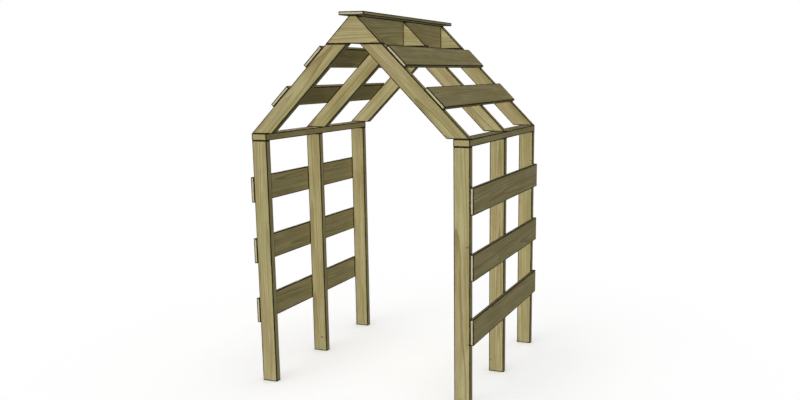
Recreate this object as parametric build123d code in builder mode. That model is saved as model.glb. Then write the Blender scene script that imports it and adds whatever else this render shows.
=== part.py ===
"""Garden arbor: an open walk-through frame of sawn softwood boards, with slatted sides and a slatted roof.

Each side is three legs under a flat top plate, with three slats across their outer faces. Three trusses
stand on the plates, in line with the legs: two rafters with level cuts, which butt under a peak block.
Ridge boards tie the peak blocks, roof slats lie on the rafters, and a flat cap covers the ridge.

X runs across the passage, Y through it from front to back, and Z up. The origin is on the ground,
midway between the six feet.
"""

import math
import os

from build123d import *

os.makedirs("parts", exist_ok=True)

# Boards, in millimetres. Framing lumber is one thickness in two widths, and the slats and cap are thin board.
framing_thickness = 38.1
stud_width = 88.9
plank_width = 139.7
slat_thickness = 19.05
slat_width = 139.7

# Eased long edges, as the boards leave the mill.
framing_ease = 3.0
slat_ease = 1.5

# The frame.
leg_height = 1362.0
frame_depth = 1193.8
roof_angle = 45.0
rafter_length = 660.4
peak_top_length = 38.1
cap_overhang = 19.05

# Lower edges of the slats, up the legs and up the rafters' top edges.
side_slat_shares = (0.25, 0.5, 0.75)
roof_slat_shares = (0.305, 0.744)

# Levels and spans that follow from the sizes above.
slope_cos = math.cos(math.radians(roof_angle))
slope_sin = math.sin(math.radians(roof_angle))
level_cut = stud_width / slope_sin
plate_top = leg_height + framing_thickness
peak_bottom = plate_top + rafter_length * slope_sin
peak_top = peak_bottom + plank_width
peak_half_top = peak_top_length / 2
peak_half_bottom = peak_half_top + plank_width * slope_cos / slope_sin
half_span = peak_half_bottom + rafter_length * slope_cos
truss_spacing = (frame_depth - framing_thickness) / 2

# The sides by the way they face along X, and the trusses by their place along Y.
sides = (("left", -1), ("right", 1))
truss_rows = (("front", -truss_spacing), ("middle", 0), ("back", truss_spacing))


def upright_plane(x, y, z):
    """A plane facing the front, X across and Z up, with its own zero at the point given."""
    return Plane(origin=(x, y, z), x_dir=(1, 0, 0), z_dir=(0, -1, 0))


def slope_plane(facing):
    """A plane facing along Y, with X up one side's roof slope from the eaves, and Y out of the roof."""
    eaves = (facing * half_span, 0, plate_top)
    return Plane(origin=eaves, x_dir=(-facing * slope_cos, 0, slope_sin), z_dir=(0, facing, 0))


def save(piece, name):
    """Label a finished piece and write it as a node of its own."""
    piece.label = name
    export_step(piece, f"parts/{name}.step")


# Legs: studs with their wide faces to the front, three to a side.
leg_middle = half_span - stud_width / 2
for side, facing in sides:
    for row, y in truss_rows:
        with BuildPart() as leg:
            with BuildSketch(Plane(origin=(facing * leg_middle, y, 0))):
                RectangleRounded(stud_width, framing_thickness, framing_ease)
            extrude(amount=leg_height)
        save(leg.part, f"{side}_{row}_leg")

# Top plates: a stud laid flat along the tops of each side's legs.
plate_middle = leg_height + framing_thickness / 2
for side, facing in sides:
    with BuildPart() as plate:
        with BuildSketch(upright_plane(facing * leg_middle, 0, plate_middle)):
            RectangleRounded(stud_width, framing_thickness, framing_ease)
        extrude(amount=frame_depth / 2, both=True)
    save(plate.part, f"{side}_top_plate")

# Side slats: thin boards across the outer faces of the legs, flush with the frame's front and back.
side_slat_middle = half_span + slat_thickness / 2
for side, facing in sides:
    for level, share in zip(("lower", "middle", "upper"), side_slat_shares):
        slat_middle = share * leg_height + slat_width / 2
        with BuildPart() as side_slat:
            with BuildSketch(upright_plane(facing * side_slat_middle, 0, slat_middle)):
                RectangleRounded(slat_thickness, slat_width, slat_ease)
            extrude(amount=frame_depth / 2, both=True)
        save(side_slat.part, f"{side}_{level}_side_slat")

# Rafters: studs on edge with a level cut at each end. The heel sits on the top plate, with its long point at
# the plate's outer edge, and the head butts under the peak block, with its long point at the block's corner.
for side, facing in sides:
    for row, y in truss_rows:
        with BuildPart() as rafter:
            with BuildSketch(upright_plane(0, y, 0)):
                with BuildLine():
                    Polyline(
                        (facing * half_span, plate_top),
                        (facing * peak_half_bottom, peak_bottom),
                        (facing * (peak_half_bottom - level_cut), peak_bottom),
                        (facing * (half_span - level_cut), plate_top),
                        close=True,
                    )
                make_face()
            extrude(amount=framing_thickness / 2, both=True)
            grain = Axis(origin=(0, 0, 0), direction=(-facing * slope_cos, 0, slope_sin))
            fillet(rafter.edges().filter_by(grain), radius=framing_ease)
        save(rafter.part, f"{row}_{side}_rafter")

# Peak blocks: a plank with both ends cut to the roof's slope, carrying on the line of the rafters' top edges.
for row, y in truss_rows:
    with BuildPart() as peak_block:
        with BuildSketch(upright_plane(0, y, 0)):
            with BuildLine():
                Polyline(
                    (-peak_half_bottom, peak_bottom),
                    (peak_half_bottom, peak_bottom),
                    (peak_half_top, peak_top),
                    (-peak_half_top, peak_top),
                    close=True,
                )
            make_face()
        extrude(amount=framing_thickness / 2, both=True)
        fillet(peak_block.edges().filter_by(Axis.X), radius=framing_ease)
    save(peak_block.part, f"{row}_peak_block")

# Ridge boards: planks on edge that fill the two bays between the peak blocks.
ridge_board_length = truss_spacing - framing_thickness
for bay, facing in (("front", -1), ("back", 1)):
    with BuildPart() as ridge_board:
        with BuildSketch(upright_plane(0, facing * truss_spacing / 2, (peak_bottom + peak_top) / 2)):
            RectangleRounded(framing_thickness, plank_width, framing_ease)
        extrude(amount=ridge_board_length / 2, both=True)
    save(ridge_board.part, f"{bay}_ridge_board")

# Roof slats: thin boards flat on the rafters' top edges, the full depth of the frame.
for side, facing in sides:
    for level, share in zip(("lower", "upper"), roof_slat_shares):
        with BuildPart() as roof_slat:
            with BuildSketch(slope_plane(facing)):
                with Locations((share * rafter_length + slat_width / 2, slat_thickness / 2)):
                    RectangleRounded(slat_width, slat_thickness, slat_ease)
            extrude(amount=frame_depth / 2, both=True)
        save(roof_slat.part, f"{side}_{level}_roof_slat")

# Ridge cap: a thin board laid flat over the peak blocks and ridge boards, past the frame at both ends.
with BuildPart() as ridge_cap:
    with BuildSketch(upright_plane(0, 0, peak_top + slat_thickness / 2)):
        RectangleRounded(slat_width, slat_thickness, slat_ease)
    extrude(amount=frame_depth / 2 + cap_overhang, both=True)
save(ridge_cap.part, "ridge_cap")
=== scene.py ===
# %% [markdown]
# # A garden arbor in treated softwood
# The arbor's boards come from a fixed frame, one object for each board, in metres and in place. This
# lesson keeps that frame as it stands and gives it a camera, studio light and the finish of planed,
# pressure-treated lumber. Nothing in the frame is moved: a new piece is made where the frame says, and
# rides on its one body.

# %% Load the frame
import math
import random

import bmesh
import bpy
from mathutils import Matrix, Vector


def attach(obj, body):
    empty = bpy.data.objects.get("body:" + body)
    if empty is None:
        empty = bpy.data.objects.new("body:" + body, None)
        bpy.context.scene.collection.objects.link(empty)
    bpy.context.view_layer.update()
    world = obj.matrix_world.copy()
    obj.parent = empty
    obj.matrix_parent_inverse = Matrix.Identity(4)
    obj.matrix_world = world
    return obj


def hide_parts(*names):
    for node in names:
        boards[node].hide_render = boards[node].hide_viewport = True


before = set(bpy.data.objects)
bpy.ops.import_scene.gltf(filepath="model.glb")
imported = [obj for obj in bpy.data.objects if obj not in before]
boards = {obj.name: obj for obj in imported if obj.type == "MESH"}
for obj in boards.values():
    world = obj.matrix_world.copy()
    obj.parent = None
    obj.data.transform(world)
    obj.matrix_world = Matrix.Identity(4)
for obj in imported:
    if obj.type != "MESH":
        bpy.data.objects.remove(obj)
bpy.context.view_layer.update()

print("boards in the frame:", len(boards))

# %% [markdown]
# ## Camera
# The photograph is a wide strip cut from a larger picture, so its optical centre isn't in the middle of
# the strip. A camera that is only turned towards the arbor would bend the verticals the wrong way. The
# place, turn and tilt here come from the vanishing lines of the boards, and the lens shift puts the
# optical centre back where it was.

# %% Set up the camera
photo_width, photo_height = 800, 400
optical_centre_x, optical_centre_y = 470.7, 236.2
focal_length_pixels = 860.2
camera_place = Vector((2.0498, -4.5953, 1.7390))
camera_turn = math.radians(19.56)
camera_tilt = math.radians(-10.97)
level_view = math.radians(90)

lens = bpy.data.cameras.new("arbor_view")
lens.lens = focal_length_pixels * lens.sensor_width / photo_width
lens.shift_x = (photo_width / 2 - optical_centre_x) / photo_width
lens.shift_y = (optical_centre_y - photo_height / 2) / photo_width
camera = bpy.data.objects.new("arbor_view", lens)
camera.location = camera_place
camera.rotation_euler = (level_view + camera_tilt, 0, camera_turn)
scene = bpy.context.scene
scene.collection.objects.link(camera)
scene.camera = camera
scene.view_settings.view_transform = "Standard"
print("lens", round(lens.lens, 2), "mm, shift", round(lens.shift_x, 4), round(lens.shift_y, 4))

# %% [markdown]
# ## Shader nodes by name
# Light, floor and wood are all chains of small nodes. Adding them one by one takes three lines each, so
# these helpers do it in one: `add` makes any node and fills its inputs, and the others wrap the sums
# and smooth steps that every chain needs. An input is either a plain value or the output of another
# node, and `add` tells them apart.

# %% Define the node helpers
def add(tree, kind, inputs=None, **options):
    """One shader node, with its options set and each input given a value or another node's output."""
    node = tree.nodes.new("ShaderNode" + kind)
    for name, value in options.items():
        setattr(node, name, value)
    for key, value in (inputs or {}).items():
        if isinstance(value, bpy.types.NodeSocket):
            tree.links.new(value, node.inputs[key])
        else:
            node.inputs[key].default_value = value
    return node


def maths(tree, operation, *values):
    """The output of one sum on numbers."""
    return add(tree, "Math", dict(enumerate(values)), operation=operation).outputs[0]


def step(tree, value, start, end, low=0.0, high=1.0):
    """A smooth step from low at start to high at end."""
    ends = {"Value": value, "From Min": start, "From Max": end, "To Min": low, "To Max": high}
    return add(tree, "MapRange", ends, interpolation_type="SMOOTHSTEP").outputs["Result"]


print("node helpers:", [helper.__name__ for helper in (add, maths, step)])

# %% [markdown]
# ## Studio light
# The boards' broad front sides are bright and their right-hand sides are in even shade, with hardly a
# cast shadow. One strong lamp would throw each leg's shadow on the leg behind it. So a soft key light
# from the front and left does a small part, and most of the light comes from fills that cast no
# shadows, as walls of diffusers would give. One stands in front, a little to the right and above. Two
# more, behind and on the left, are for the sides that this camera doesn't see. The sky is brighter near
# the horizon than overhead, like a ring of white walls. The levels add up to about one, at which a
# colour renders as it is written.

# %% Hang the lamps
def sun(name, towards, strength, softness, shadows=True):
    """A sun lamp that shines from the side given, as soft as its angle in degrees is wide."""
    lamp = bpy.data.lights.new(name, "SUN")
    lamp.energy = strength
    lamp.angle = math.radians(softness)
    lamp.use_shadow = shadows
    holder = bpy.data.objects.new(name, lamp)
    holder.rotation_euler = Vector(towards).to_track_quat("Z", "Y").to_euler()
    scene.collection.objects.link(holder)


sun("key_light", towards=(-0.35, -1.0, 0.55), strength=0.35, softness=40)
sun("front_fill", towards=(0.34, -1.0, 0.20), strength=2.80, softness=10, shadows=False)
sun("back_fill", towards=(-0.52, 0.85, 0.0), strength=2.10, softness=5, shadows=False)
sun("left_fill", towards=(-1.0, 0.0, 0.0), strength=1.00, softness=5, shadows=False)

# %% Make the sky
horizon_level, zenith_level = 0.20, 0.06
zenith_height = 0.8
white = (1, 1, 1, 1)

world = bpy.data.worlds.new("studio")
scene.world = world
world.use_nodes = True
sky = world.node_tree
sky.nodes.clear()


def background_rays(tree):
    """One for what the camera sees, also in gloss or through glass, and zero for light on the object."""
    path = add(tree, "LightPath").outputs
    seen = maths(tree, "MAXIMUM", path["Is Camera Ray"], path["Is Glossy Ray"])
    return maths(tree, "MAXIMUM", seen, path["Is Transmission Ray"])


sky_height = add(sky, "SeparateXYZ", {0: add(sky, "TexCoord").outputs["Generated"]}).outputs[2]
sky_level = step(sky, sky_height, 0.0, zenith_height, horizon_level, zenith_level)
soft_sky = add(sky, "Background", {"Color": white, "Strength": sky_level})
white_sky = add(sky, "Background", {"Color": white, "Strength": 1.0})
choice = add(sky, "MixShader", {0: background_rays(sky), 1: soft_sky.outputs[0], 2: white_sky.outputs[0]})
add(sky, "OutputWorld", {"Surface": choice.outputs[0]})
print("sky from", horizon_level, "at the horizon to", zenith_level, "overhead")

# %% [markdown]
# ## Floor
# A pale disc takes the arbor's soft shadow. A floor that only reflects would be a grey patch on the
# white ground, so this one glows as well: the glow and the reflected light add up to white where
# nothing shades it. The glow stands for light from all round, so it is dimmed where the boards block
# that light, which seats the feet in soft shadow. Away from the feet the floor fades to plain white, so
# that no horizon shows behind an open frame. Light that bounces off it onto the boards meets a duller
# and cooler floor, like shaded ground, which keeps the undersides of the roof as dark as they are
# outdoors.

# %% Lay the floor
floor_radius = 40.0
floor_sides = 96


def mesh_of(shape, name):
    """The mesh of a finished bmesh, which is then let go."""
    mesh = bpy.data.meshes.new(name)
    shape.to_mesh(mesh)
    shape.free()
    return mesh


floor_shape = bmesh.new()
bmesh.ops.create_circle(floor_shape, cap_ends=True, segments=floor_sides, radius=floor_radius)
floor_mesh = mesh_of(floor_shape, "floor")
floor = bpy.data.objects.new("floor", floor_mesh)
scene.collection.objects.link(floor)
print("floor radius", floor_radius, "m")

# %% Whiten the floor
fade_start, fade_end = 1.0, 2.8
floor_glow = 0.70
shadow_reach = 0.8
floor_grey = (0.90, 0.90, 0.90, 1)
shaded_ground = (0.20, 0.25, 0.31, 1)


def vectors(tree, operation, *values):
    """The output of one sum on vectors."""
    node = add(tree, "VectorMath", dict(enumerate(values)), operation=operation)
    return node.outputs["Value" if operation in ("DOT_PRODUCT", "LENGTH") else "Vector"]


def bare_material(name):
    """A new material with no nodes in it yet."""
    material = bpy.data.materials.new(name)
    material.use_nodes = True
    material.node_tree.nodes.clear()
    return material


pale = bare_material("pale_floor")
tree = pale.node_tree
feet_distance = vectors(tree, "LENGTH", add(tree, "TexCoord").outputs["Object"])
lit = add(tree, "BsdfDiffuse", {"Color": floor_grey})
open_sky = add(tree, "AmbientOcclusion", {"Distance": shadow_reach}).outputs["AO"]
glow = add(tree, "Emission", {"Color": white, "Strength": maths(tree, "MULTIPLY", open_sky, floor_glow)})
shaded = add(tree, "AddShader", {0: lit.outputs[0], 1: glow.outputs[0]})
plain = add(tree, "Emission", {"Color": white, "Strength": 1.0})
faded = step(tree, feet_distance, fade_start, fade_end)
shown = add(tree, "MixShader", {0: faded, 1: shaded.outputs[0], 2: plain.outputs[0]})
bounce = add(tree, "BsdfDiffuse", {"Color": shaded_ground})
ground = add(tree, "MixShader", {0: background_rays(tree), 1: bounce.outputs[0], 2: shown.outputs[0]})
add(tree, "OutputMaterial", {"Surface": ground.outputs[0]})
floor_mesh.materials.append(pale)
print("floor in shade near the feet, and plain white from", fade_end, "m")

# %% [markdown]
# ## What a board knows about itself
# Wood has a direction, so a finish has to know how each board lies. A board tells that by its faces:
# its thin way is square to its broadest faces, its wide way is square to the next broadest, and the
# grain runs the third way. The two faces that look along the grain, square or sloped, are its cut ends.
# Reading this from the mesh works for a leg, a rafter and a sloping roof slat alike, with no list of
# angles to keep in step with the frame.

# %% Read every board's own axes
parallel = 0.9
across_grain = 0.5
same_facing_digits = 3


def read_board(piece):
    """A board's centre, its grain, wide and thin ways, its half sizes along them and its end planes."""
    areas = {}
    for face in piece.data.polygons:
        facing = tuple(round(v, same_facing_digits) for v in face.normal)
        areas[facing] = areas.get(facing, 0) + face.area
    by_area = [Vector(n).normalized() for n in sorted(areas, key=areas.get, reverse=True)]
    thin = by_area[0]
    wide = next(n for n in by_area if abs(n.dot(thin)) < parallel)
    grain = wide.cross(thin)
    cuts = [n for n in by_area if abs(n.dot(grain)) > across_grain][:2]
    corners = [v.co for v in piece.data.vertices]
    centre, half = Vector(), Vector()
    for i, way in enumerate((grain, wide, thin)):
        reach = [way.dot(v) for v in corners]
        centre += way * (min(reach) + max(reach)) / 2
        half[i] = (max(reach) - min(reach)) / 2
    ends = [(n, max(n.dot(v) for v in corners)) for n in cuts]
    return {"centre": centre, "grain": grain, "wide": wide, "thin": thin, "half": half, "ends": ends}


lay = {name: read_board(piece) for name, piece in boards.items()}
for name in ("left_front_leg", "front_left_rafter", "right_upper_roof_slat", "front_peak_block"):
    grain, half = ([round(v, 4) for v in lay[name][key]] for key in ("grain", "half"))
    print(name, "grain", grain, "half sizes", half)

# %% [markdown]
# ## Softwood, from the heart outwards
# A board is a slice of a trunk, so its pattern is solid: the same growth rings make long stripes on the
# faces and arcs on the ends. A picture wrapped round the board can't do that, and neither can a wave
# pattern on each face. So the finish measures how far every point lies from the heart of its own tree,
# and counts rings from there. It is one node group that all the boards share. Each board hands in its
# own place, heart and seed.

# %% Open the wood group
seed_way = (17.3, 5.1, 9.7)
wood_inputs = {
    "Board": "Vector",
    "Heart": "Vector",
    "Half": "Vector",
    "Seed": "Float",
    "End distance": "Float",
    "End face": "Float",
    "End colour": "Color",
}
wood_outputs = {"Color": "Color", "Roughness": "Float", "Height": "Float"}

wood = bpy.data.node_groups.new("treated_softwood", "ShaderNodeTree")
for way, sockets in (("INPUT", wood_inputs), ("OUTPUT", wood_outputs)):
    for label, kind in sockets.items():
        wood.interface.new_socket(label, in_out=way, socket_type="NodeSocket" + kind)


def scaled(tree, vector, factor):
    """A vector made longer or shorter by a factor."""
    return add(tree, "VectorMath", {0: vector, "Scale": factor}, operation="SCALE").outputs["Vector"]


given = wood.nodes.new("NodeGroupInput").outputs
board_place = given["Board"]
apart = vectors(wood, "ADD", board_place, scaled(wood, seed_way, given["Seed"]))
print("wood group opened with", len(wood.interface.items_tree), "sockets")

# %% [markdown]
# ## Knots
# A knot is the foot of a branch, and the wood flows round it. Scattering points over the board's face,
# some way apart, and keeping only some of them, gives each board a few knots of its own. The distance
# to the nearest one is used twice: close in it is the knot's own dark heart, and further out it pushes
# the growth rings aside.

# %% Scatter the knots
knot_spacing = 0.26
knot_radius, knot_rim = 0.010, 0.004
clear_chance = 0.45
push_start_radii, push_full_radii = 4.5, 0.5
least_knot = 0.0001

knots = add(
    wood,
    "TexVoronoi",
    {"Vector": scaled(wood, apart, 1 / knot_spacing), "Scale": 1.0},
    voronoi_dimensions="2D",
)
knot_distance = maths(wood, "MULTIPLY", knots.outputs["Distance"], knot_spacing)
knot_chance = add(wood, "SeparateColor", {0: knots.outputs["Color"]}).outputs[0]
knot_size = step(wood, knot_chance, clear_chance, 1.0, 0.0, knot_radius)
knot_core = step(wood, maths(wood, "SUBTRACT", knot_distance, knot_size), 0.0, -knot_rim)
knot_reach = maths(wood, "DIVIDE", knot_distance, maths(wood, "ADD", knot_size, least_knot))
knot_push = step(wood, knot_reach, push_start_radii, push_full_radii)

# %% [markdown]
# ## Growth rings
# The distance from the heart, bent by slow noise and pushed by the knots, is divided by the width of a
# year. What is left over after the whole years runs from the pale spring wood to the dark summer wood
# and drops back sharply. Trunks taper, so the distance also grows along the board: that slant draws the
# long pointed arches on a flat face.

# %% Count the rings
year_width = 0.0068
trunk_taper = 0.011
slow_bend, quick_bend = 0.022, 0.0032
slow_cells, quick_cells = (1.1, 7.0, 7.0), (7.0, 45.0, 45.0)
knot_shove = 0.012
summer_start, summer_full = 0.38, 0.94
winter_start, winter_full = 0.955, 1.0


def noise(tree, where, stretch, detail=2.0):
    """Noise from 0 to 1 whose cells are one over stretch long along each axis."""
    cells = vectors(tree, "MULTIPLY", where, stretch)
    return add(tree, "TexNoise", {"Vector": cells, "Scale": 1.0, "Detail": detail}).outputs[0]


from_heart = vectors(wood, "MULTIPLY", vectors(wood, "SUBTRACT", board_place, given["Heart"]), (0, 1, 1))
heart_distance = vectors(wood, "LENGTH", from_heart)
along = add(wood, "SeparateXYZ", {0: board_place}).outputs[0]
bent = maths(wood, "MULTIPLY_ADD", noise(wood, apart, slow_cells), slow_bend, heart_distance)
bent = maths(wood, "MULTIPLY_ADD", noise(wood, apart, quick_cells), quick_bend, bent)
slanted = maths(wood, "MULTIPLY_ADD", along, trunk_taper, bent)
pushed = maths(wood, "MULTIPLY_ADD", knot_push, knot_shove, slanted)
years = maths(wood, "DIVIDE", pushed, year_width)
season = maths(wood, "FRACT", years)
ripening = step(wood, season, summer_start, summer_full)
summer = maths(wood, "MULTIPLY", ripening, step(wood, season, winter_full, winter_start))
year_number = maths(wood, "FLOOR", years)
year_tone = add(wood, "TexWhiteNoise", {"W": year_number}, noise_dimensions="1D").outputs[0]

# %% [markdown]
# ## Colour
# Treated softwood is a drab golden tan, greener where the salts stayed and pinker where the sap wood
# dried. Streaks as wide as a finger run along the grain, finer threads lie between them, good and poor
# years follow the rings, and the treatment soaks in unevenly, in soft patches. The four are added up
# into one tone, from deep to pale. Summer wood, fibres and knots are darker and browner again, and
# short dark pores, under a millimetre wide, are what the eye reads as real wood from close by. Good
# years are noise along the count of rings. The other marks are noise with cells that are long along the
# grain and narrow across it.

# %% Draw the streaks and pores
streaks = noise(wood, apart, stretch=(1.2, 52.0, 52.0), detail=3.0)
threads = noise(wood, apart, stretch=(5.0, 230.0, 230.0))
fibres = noise(wood, apart, stretch=(14.0, 900.0, 900.0))
pores = noise(wood, apart, stretch=(48.0, 1700.0, 1700.0), detail=1.0)
patches = noise(wood, apart, stretch=(2.2, 14.0, 14.0))
soak = noise(wood, apart, stretch=(4.5, 24.0, 24.0))
good_year_pace = 0.31
growth = maths(wood, "MULTIPLY_ADD", years, good_year_pace, given["Seed"])
good_years = add(wood, "TexNoise", {"W": growth, "Scale": 1.0}, noise_dimensions="1D").outputs[0]

# %% Mix the spring wood
spring_deep = (0.298, 0.254, 0.104, 1)
spring_pale = (0.468, 0.414, 0.214, 1)
spring_rose = (0.408, 0.318, 0.174, 1)
spring_green = (0.372, 0.346, 0.160, 1)
tone_low, tone_high = 0.34, 0.66
streak_share, year_share, thread_share = 0.41, 0.29, 0.20
soak_dark, soak_light = -0.18, 0.28
patch_middle, rose_full, green_full = 0.50, 0.72, 0.30
patch_share = 0.7
mix_colour_inputs, mix_colour_output = (0, 6, 7), 2


def mix(tree, factor, first, second):
    """A mix of two colours, by the sockets that a Mix node keeps for colours."""
    inputs = dict(zip(mix_colour_inputs, (factor, first, second)))
    return add(tree, "Mix", inputs, data_type="RGBA").outputs[mix_colour_output]


tone = maths(wood, "MULTIPLY", step(wood, streaks, tone_low, tone_high), streak_share)
tone = maths(wood, "MULTIPLY_ADD", step(wood, good_years, tone_low, tone_high), year_share, tone)
tone = maths(wood, "MULTIPLY_ADD", step(wood, threads, tone_low, tone_high), thread_share, tone)
tone = maths(wood, "ADD", step(wood, soak, tone_low, tone_high, soak_dark, soak_light), tone)
spring = mix(wood, tone, spring_deep, spring_pale)
spring = mix(wood, step(wood, patches, patch_middle, rose_full, 0.0, patch_share), spring, spring_rose)
spring = mix(wood, step(wood, patches, patch_middle, green_full, 0.0, patch_share), spring, spring_green)
print("spring wood from", spring_deep[:3], "to", spring_pale[:3])

# %% Add the dark lines
summer_brown = (0.225, 0.168, 0.068, 1)
knot_brown = (0.110, 0.068, 0.030, 1)
faint_year, strong_year = 0.30, 0.85
fibre_start, fibre_full, fibre_share = 0.50, 0.72, 0.36
pore_start, pore_full, pore_share = 0.60, 0.72, 0.40
knot_share = 0.8

summer_share = maths(wood, "MULTIPLY", summer, step(wood, year_tone, 0.0, 1.0, faint_year, strong_year))
colour = mix(wood, summer_share, spring, summer_brown)
colour = mix(wood, step(wood, fibres, fibre_start, fibre_full, 0.0, fibre_share), colour, summer_brown)
colour = mix(wood, step(wood, pores, pore_start, pore_full, 0.0, pore_share), colour, knot_brown)
colour = mix(wood, maths(wood, "MULTIPLY", knot_core, knot_share), colour, knot_brown)
print("wood group so far has", len(wood.nodes), "nodes")

# %% [markdown]
# ## Cut ends and dark edges
# A saw cut opens the fibres, so an end shows its rings clearly, and on thin boards, cut after the
# treatment, it is paler than a face. Every edge of this arbor shows as a dark line: arrises hold the
# dirt and weather first. The distance to the nearest edge is the middle one of three, how far a point
# lies from the board's side, from its face and from its end. On a face the smallest is nought, and the
# next is the way to the edge. A point that lies below the face and far from any edge can only be in a
# screw's pit, which is darkened for its crushed fibres and with painted shade in the hollow.

# %% Tone the cut ends
end_ring_share = 0.5
end_share = 0.85
end_tone = mix(wood, maths(wood, "MULTIPLY", summer, end_ring_share), given["End colour"], summer_brown)
colour = mix(wood, maths(wood, "MULTIPLY", given["End face"], end_share), colour, end_tone)
print("cut ends take", end_share, "of their own colour")

# %% Darken the edges and pits
# This dark colour serves the dirty arrises, and also the painted shade in the screw pits and the inner
# corners.
dark_dirt_and_shade = (0.013, 0.0095, 0.0035, 1)
edge_start, edge_width = 0.0034, 0.0066
edge_share = 0.97
fray_share = 0.5
fray_cells, fray_detail = (22.0, 48.0, 48.0), 4.0
pit_depth = 0.0009
pit_share = 0.8

fray = fray_share * edge_width
inward = vectors(wood, "SUBTRACT", given["Half"], vectors(wood, "ABSOLUTE", board_place))
depth = add(wood, "SeparateXYZ", {0: inward}).outputs
nearer = maths(wood, "MINIMUM", depth[1], depth[2])
further = maths(wood, "MAXIMUM", depth[1], depth[2])
edge_distance = maths(wood, "MAXIMUM", nearer, maths(wood, "MINIMUM", further, given["End distance"]))
ragged = noise(wood, apart, fray_cells, fray_detail)
worn_distance = maths(wood, "MULTIPLY_ADD", ragged, fray, edge_distance)
edge_wear = step(wood, worn_distance, edge_width + fray / 2, edge_start + fray / 2)
below_face = step(wood, depth[2], 0.0, pit_depth)
edge_or_end = maths(wood, "MINIMUM", depth[1], given["End distance"])
pit = maths(wood, "MULTIPLY", below_face, step(wood, edge_or_end, edge_width, 2 * edge_width))
colour = mix(wood, maths(wood, "MULTIPLY", edge_wear, edge_share), colour, dark_dirt_and_shade)
# Screw pits are darkened for their crushed fibres and with painted shade in the hollow.
colour = mix(wood, maths(wood, "MULTIPLY", pit, pit_share), colour, dark_dirt_and_shade)

# %% [markdown]
# ## Relief and gloss
# Summer wood is hard and wears proud of the soft spring wood, and the fibres leave a fine tooth. Both
# go into one height in metres, for a bump of a few tenths of a millimetre. Gloss follows the same
# pattern: the hard lines are a little smoother than the rest, and cut ends are the roughest of all.

# %% Finish the wood group
tooth_height, ring_height = 0.00012, 0.00022
hard_share = 0.8
soft_roughness, hard_roughness, end_roughness = 0.80, 0.62, 0.9

tooth = maths(wood, "MULTIPLY", fibres, tooth_height)
relief = maths(wood, "MULTIPLY_ADD", summer, ring_height, tooth)
dry = step(wood, summer_share, 0.0, hard_share, soft_roughness, hard_roughness)
roughness = maths(wood, "MAXIMUM", dry, maths(wood, "MULTIPLY", given["End face"], end_roughness))
wood_out = wood.nodes.new("NodeGroupOutput").inputs
for label, socket in zip(wood_outputs, (colour, roughness, relief)):
    wood.links.new(socket, wood_out[label])
print("wood group has", len(wood.nodes), "nodes")

# %% [markdown]
# ## The grain of one board
# The wood group knows nothing of where a board stands. A Mapping node set to Texture turns the shared
# coordinates into the board's own, along the grain, across the width and through the thickness. An end
# is cut square or sloped, so the way to it is measured from the end's own plane, and a face belongs to
# an end where it looks along the grain and lies close to that plane.

# %% Lay the grain along a board
end_depth = 0.002
end_facing_start, end_facing_full = 0.35, 0.6


def grain_inputs(tree, board):
    """What the wood group reads of a board: its own place, the way to its ends, and its end faces."""
    turn = Matrix((board["grain"], board["wide"], board["thin"])).transposed().to_euler()
    place = add(tree, "TexCoord").outputs["Object"]
    lie = {"Vector": place, "Location": board["centre"], "Rotation": turn}
    own_place = add(tree, "Mapping", lie, vector_type="TEXTURE").outputs[0]
    gaps = []
    for out_of_end, reach in board["ends"]:
        gaps.append(maths(tree, "SUBTRACT", reach, vectors(tree, "DOT_PRODUCT", place, out_of_end)))
    end_distance = maths(tree, "MINIMUM", *gaps)
    normal = add(tree, "NewGeometry").outputs["Normal"]
    along_grain = maths(tree, "ABSOLUTE", vectors(tree, "DOT_PRODUCT", normal, board["grain"]))
    at_end = step(tree, end_distance, 2 * end_depth, end_depth)
    facing_end = step(tree, along_grain, end_facing_start, end_facing_full)
    end_face = maths(tree, "MULTIPLY", facing_end, at_end)
    return {"Board": own_place, "End distance": end_distance, "End face": end_face}


# %% [markdown]
# ## One finish for each board
# Boards from one stack are never alike, so each gets its own material: the same group, fed with the
# board's own grain and a heart and seed drawn from its name. The inner corners where boards meet get
# painted shade. A board alone knows nothing of its neighbours, so that is read with ambient occlusion
# over a centimetre or so: an open face has none, and in a corner half of the view is blocked.

# %% Paint shade into the corners
corner_reach = 0.014
corner_rays = 8
open_corner, tight_corner = 0.80, 0.58
corner_shade_share = 0.85


def corner_painted_shade(tree):
    """How much painted shade a point gets, by how much of its view the boards close by block."""
    near_view = add(tree, "AmbientOcclusion", {"Distance": corner_reach}, samples=corner_rays)
    return step(tree, near_view.outputs["AO"], open_corner, tight_corner, 0.0, corner_shade_share)


# %% Finish every board
near_heart, far_heart = 0.030, 0.095
seed_range = 40.0
end_tan = (0.392, 0.330, 0.152, 1)
end_cream = (0.570, 0.524, 0.332, 1)
bump_strength = 0.6
dull_gloss = 0.04
thin_boards = [name for name in boards if name.endswith("slat") or name == "ridge_cap"]


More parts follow.
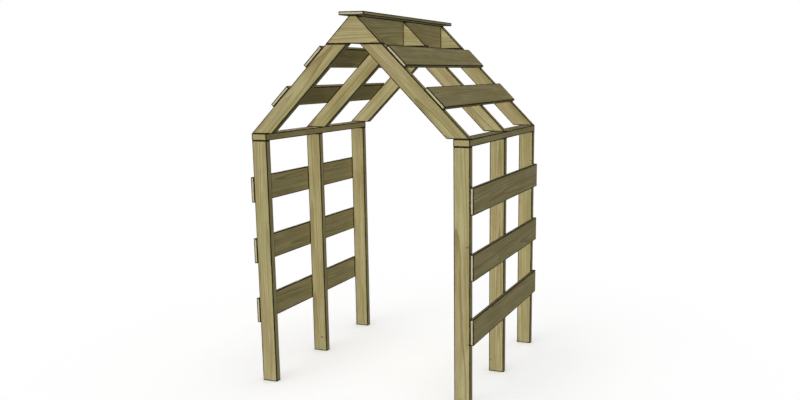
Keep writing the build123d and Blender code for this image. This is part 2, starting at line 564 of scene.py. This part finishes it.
def board_finish(name):
    """The treated softwood material of one board, laid along its own grain."""
    board = lay[name]
    draw = random.Random(name)
    across = board["half"][1] * draw.uniform(-1, 1)
    below = draw.choice((-1, 1)) * draw.uniform(near_heart, far_heart)
    finish = bare_material(name + "_finish")
    tree = finish.node_tree
    inputs = grain_inputs(tree, board)
    inputs["Heart"] = (0, across, below)
    inputs["Half"] = board["half"]
    inputs["Seed"] = draw.uniform(0, seed_range)
    inputs["End colour"] = end_cream if name in thin_boards else end_tan
    grown = add(tree, "Group", inputs, node_tree=wood).outputs
    bump = {"Height": grown["Height"], "Distance": 1.0, "Strength": bump_strength}
    surface = {
        # The base colour is the wood, with painted shade in the inner corners where boards close by block
        # the view.
        "Base Color": mix(tree, corner_painted_shade(tree), grown["Color"], dark_dirt_and_shade),
        "Roughness": grown["Roughness"],
        "Normal": add(tree, "Bump", bump).outputs[0],
        "Specular IOR Level": dull_gloss,
    }
    add(tree, "OutputMaterial", {"Surface": add(tree, "BsdfPrincipled", surface).outputs[0]})
    return finish


for name, piece in boards.items():
    piece.data.materials.clear()
    piece.data.materials.append(board_finish(name))
print("finished boards:", len(boards), "of them thin:", len(thin_boards))

# %% [markdown]
# ## Screw places
# Thin boards are held by two deck screws wherever they cross a leg or a rafter, and the cap by one line
# of screws down its middle, into the ridge. The crossings are read from the frame, so a screw can't
# miss the wood behind it. Each board is drawn flat at the origin with its outer face up, and a matrix
# then lays it where the frame has it. The face that points away from the middle of the passage is the
# outer one.

# %% Work out where the screws go
screw_spread_share = 0.6
bay_shares = (1 / 3, 2 / 3)
rows = [lay[f"left_{row}_leg"]["centre"].y for row in ("front", "middle", "back")]
ridge_rows = rows + [a + share * (b - a) for a, b in zip(rows, rows[1:]) for share in bay_shares]
passage_middle = Vector((0, 0, lay["left_top_plate"]["centre"].z))


def laid(name):
    """The matrix that lays a board, drawn flat with its outer face up, where the frame has it."""
    board = lay[name]
    outward = board["thin"].copy()
    if outward.dot(board["centre"] - passage_middle) < 0:
        outward.negate()
    turn = Matrix((board["grain"], outward.cross(board["grain"]), outward)).transposed()
    return Matrix.Translation(board["centre"]) @ turn.to_4x4()


def screw_spots(name):
    """The screws' places on a thin board's outer face, along its length and across its width."""
    board = lay[name]
    spread = board["half"][1] * screw_spread_share
    crossings, lines = (ridge_rows, (0,)) if name == "ridge_cap" else (rows, (-spread, spread))
    return [(board["grain"].y * y, line) for y in crossings for line in lines]


spots = {name: screw_spots(name) for name in thin_boards}
print("screws:", sum(len(places) for places in spots.values()))

# %% [markdown]
# ## Thin boards with sunk screw holes
# Seen close, a screwed board has a small pit at each screw, where the head was driven below the face.
# Cutting the pits with a boolean would leave ragged faces round them. Here a plain block gets its eased
# edges with bevel, its outer face is cut into a grid so that a small square lies round each screw, and
# each square is swapped for a round pit: a circle bridged to the square's sides, and then pushed down
# into the wood.

# %% Cut a grid into the outer face
straight = 0.99


def outer_faces(shape):
    """The faces of a flat board that look straight up."""
    return [face for face in shape.faces if face.normal.z > straight]


def cut_outer_face(shape, way, place):
    """A straight cut over the whole outer face, square to one of the board's own ways."""
    faces = outer_faces(shape)
    edges = {edge for face in faces for edge in face.edges}
    verts = {vert for face in faces for vert in face.verts}
    square_to = Vector((way == 0, way == 1, 0))
    geometry = [*verts, *edges, *faces]
    bmesh.ops.bisect_plane(shape, geom=geometry, plane_co=square_to * place, plane_no=square_to)


print("a face looks straight up within", round(math.degrees(math.acos(straight)), 1), "degrees")

# %% Sink a screw
sink_radius, sink_floor_radius = 0.0052, 0.0046
sink_depth = 0.0013
sink_square = 0.0075
sink_sides = 24


def sink_screw(shape, centre):
    """Swap the square round a screw for a round pit with a flat floor."""
    square = min(outer_faces(shape), key=lambda face: (face.calc_center_median() - centre).length)
    sides = list(square.edges)
    bmesh.ops.delete(shape, geom=[square], context="FACES_ONLY")
    split = bmesh.ops.subdivide_edges(shape, edges=sides, cuts=sink_sides // len(sides) - 1)
    rim = [edge for edge in split["geom"] if isinstance(edge, bmesh.types.BMEdge)]
    spot = Matrix.Translation(centre)
    circle = bmesh.ops.create_circle(shape, segments=sink_sides, radius=sink_radius, matrix=spot)["verts"]
    mouth = list({edge for vert in circle for edge in vert.link_edges})
    bmesh.ops.bridge_loops(shape, edges=rim + mouth)
    pushed_in = bmesh.ops.extrude_edge_only(shape, edges=mouth)["geom"]
    foot = [vert for vert in pushed_in if isinstance(vert, bmesh.types.BMVert)]
    narrow = sink_floor_radius / sink_radius
    bmesh.ops.scale(shape, vec=(narrow, narrow, 1), space=spot.inverted(), verts=foot)
    bmesh.ops.translate(shape, vec=(0, 0, -sink_depth), verts=foot)
    bmesh.ops.contextual_create(shape, geom=foot)


# %% Draw a thin board
board_ease, ease_steps = 0.0015, 3
end_break = 0.0006


def thin_board(name):
    """A thin board with eased edges and a pit for each of its screws, laid in its place."""
    half = lay[name]["half"]
    shape = bmesh.new()
    bmesh.ops.create_cube(shape, size=2)
    bmesh.ops.scale(shape, vec=half, verts=shape.verts)
    long_edges = [edge for edge in shape.edges if abs(edge.verts[0].co.x - edge.verts[1].co.x) > half[0]]
    ease = {"affect": "EDGES", "profile": 0.5, "material": -1}
    bmesh.ops.bevel(shape, geom=long_edges, offset=board_ease, segments=ease_steps, **ease)
    shape.normal_update()
    end_faces = [face for face in shape.faces if abs(face.normal.x) > straight]
    end_edges = list({edge for face in end_faces for edge in face.edges})
    bmesh.ops.bevel(shape, geom=end_edges, offset=end_break, segments=1, **ease)
    for way in (0, 1):
        for line in sorted({spot[way] for spot in spots[name]}):
            cut_outer_face(shape, way, line - sink_square)
            cut_outer_face(shape, way, line + sink_square)
    shape.normal_update()
    for x, y in spots[name]:
        sink_screw(shape, Vector((x, y, half[2])))
    bmesh.ops.recalc_face_normals(shape, faces=shape.faces)
    bmesh.ops.transform(shape, matrix=laid(name), verts=shape.verts)
    return mesh_of(shape, name + "_board")


# %% Put the thin boards in place
def put(mesh, finish):
    """A finished piece at the origin, which rides on the frame."""
    piece = bpy.data.objects.new(mesh.name, mesh)
    mesh.materials.append(finish)
    scene.collection.objects.link(piece)
    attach(piece, "root")
    return piece


for name in thin_boards:
    board_piece = put(thin_board(name), boards[name].data.materials[0])
    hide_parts(name)
print("thin boards:", len(thin_boards), "with", len(board_piece.data.polygons), "faces on the last")

# %% [markdown]
# ## Deck screws
# A deck screw has a flat, wide head with a star-shaped drive recess, and a coating the colour of
# treated wood. Only the head shows. It is drawn once: a star bridged to a circle makes the top, the
# star is pushed down for the recess, and the circle is drawn out into the rim and the cone below.
# Copies of it are laid into the pits, each turned its own way and driven a little more or less deep,
# and joined into one piece for each kind of board.

# %% Draw one screw head
head_radius, cone_radius = 0.0041, 0.0022
rim_height, cone_height = 0.0005, 0.0024
star_radius, star_waist_share = 0.0021, 0.74
recess_depth = 0.0016
recess_floor_share = 0.9
star_points, sides_per_point = 6, 4


def ring(shape, radius):
    """A circle of verts and edges at the origin."""
    sides = star_points * sides_per_point
    verts = bmesh.ops.create_circle(shape, segments=sides, radius=radius)["verts"]
    return verts, list({edge for vert in verts for edge in vert.link_edges})


def drawn_out(shape, edges, share, drop):
    """The new edges of a ring of walls, drawn down from a ring of edges and narrowed by a share."""
    walls = bmesh.ops.extrude_edge_only(shape, edges=edges)["geom"]
    verts = [vert for vert in walls if isinstance(vert, bmesh.types.BMVert)]
    bmesh.ops.scale(shape, vec=(share, share, 1), verts=verts)
    bmesh.ops.translate(shape, vec=(0, 0, -drop), verts=verts)
    wall_edges = [edge for edge in walls if isinstance(edge, bmesh.types.BMEdge)]
    return [edge for edge in wall_edges if set(edge.verts) <= set(verts)]


screw = bmesh.new()
top_verts, top_edges = ring(screw, head_radius)
star_verts, star_edges = ring(screw, star_radius)
waist = [vert for i, vert in enumerate(star_verts) if i % sides_per_point >= sides_per_point / 2]
bmesh.ops.scale(screw, vec=(star_waist_share, star_waist_share, 1), verts=waist)
bmesh.ops.bridge_loops(screw, edges=top_edges + star_edges)
bmesh.ops.contextual_create(screw, geom=drawn_out(screw, star_edges, recess_floor_share, recess_depth))
rim_edges = drawn_out(screw, top_edges, 1, rim_height)
cone_edges = drawn_out(screw, rim_edges, cone_radius / head_radius, cone_height)
bmesh.ops.contextual_create(screw, geom=cone_edges)
bmesh.ops.recalc_face_normals(screw, faces=screw.faces)
screw_mesh = mesh_of(screw, "deck_screw")
print("a screw head has", len(screw_mesh.polygons), "faces")

# %% [markdown]
# ## Coated steel
# The coating is dull and even, a shade greyer than the wood. Where the driver slipped, specks of bare
# steel show through. Noise a few tenths of a millimetre wide gives the specks, and they are smoother
# than the coat.

# %% Mix the screw coating
coat_tan = (0.235, 0.196, 0.112, 1)
bare_steel = (0.360, 0.350, 0.330, 1)
speck_cells = (1500.0, 1500.0, 1500.0)
speck_start, speck_full = 0.56, 0.66
steel_metal = 0.9
coat_roughness, steel_roughness = 0.6, 0.35
coat_gloss = 0.3

coating = bare_material("deck_screw_coating")
tree = coating.node_tree
specks = noise(tree, add(tree, "TexCoord").outputs["Object"], speck_cells)
bare = step(tree, specks, speck_start, speck_full)
coat = {
    "Base Color": mix(tree, bare, coat_tan, bare_steel),
    "Metallic": maths(tree, "MULTIPLY", bare, steel_metal),
    "Roughness": step(tree, bare, 0.0, 1.0, coat_roughness, steel_roughness),
    "Specular IOR Level": coat_gloss,
}
add(tree, "OutputMaterial", {"Surface": add(tree, "BsdfPrincipled", coat).outputs[0]})
print("coating mixed with", len(tree.nodes), "nodes")

# %% Drive the screws
head_below = 0.0006
drive_play = 0.0002
drive = random.Random("deck screws")


def driven(piece_name, names):
    """One piece of all the screws in these boards."""
    shape = bmesh.new()
    for name in names:
        for x, y in spots[name]:
            before = len(shape.verts)
            shape.from_mesh(screw_mesh)
            shape.verts.ensure_lookup_table()
            sunk = lay[name]["half"][2] - head_below + drive.uniform(-drive_play, drive_play)
            turn = Matrix.Rotation(drive.uniform(0, math.tau), 4, "Z")
            where = laid(name) @ Matrix.Translation((x, y, sunk)) @ turn
            bmesh.ops.transform(shape, matrix=where, verts=shape.verts[before:])
    return put(mesh_of(shape, piece_name), coating)


for kind in ("side_slat", "roof_slat", "ridge_cap"):
    screws = driven(kind + "_screws", [name for name in thin_boards if name.endswith(kind)])
    print(screws.name, len(screws.data.polygons), "faces")
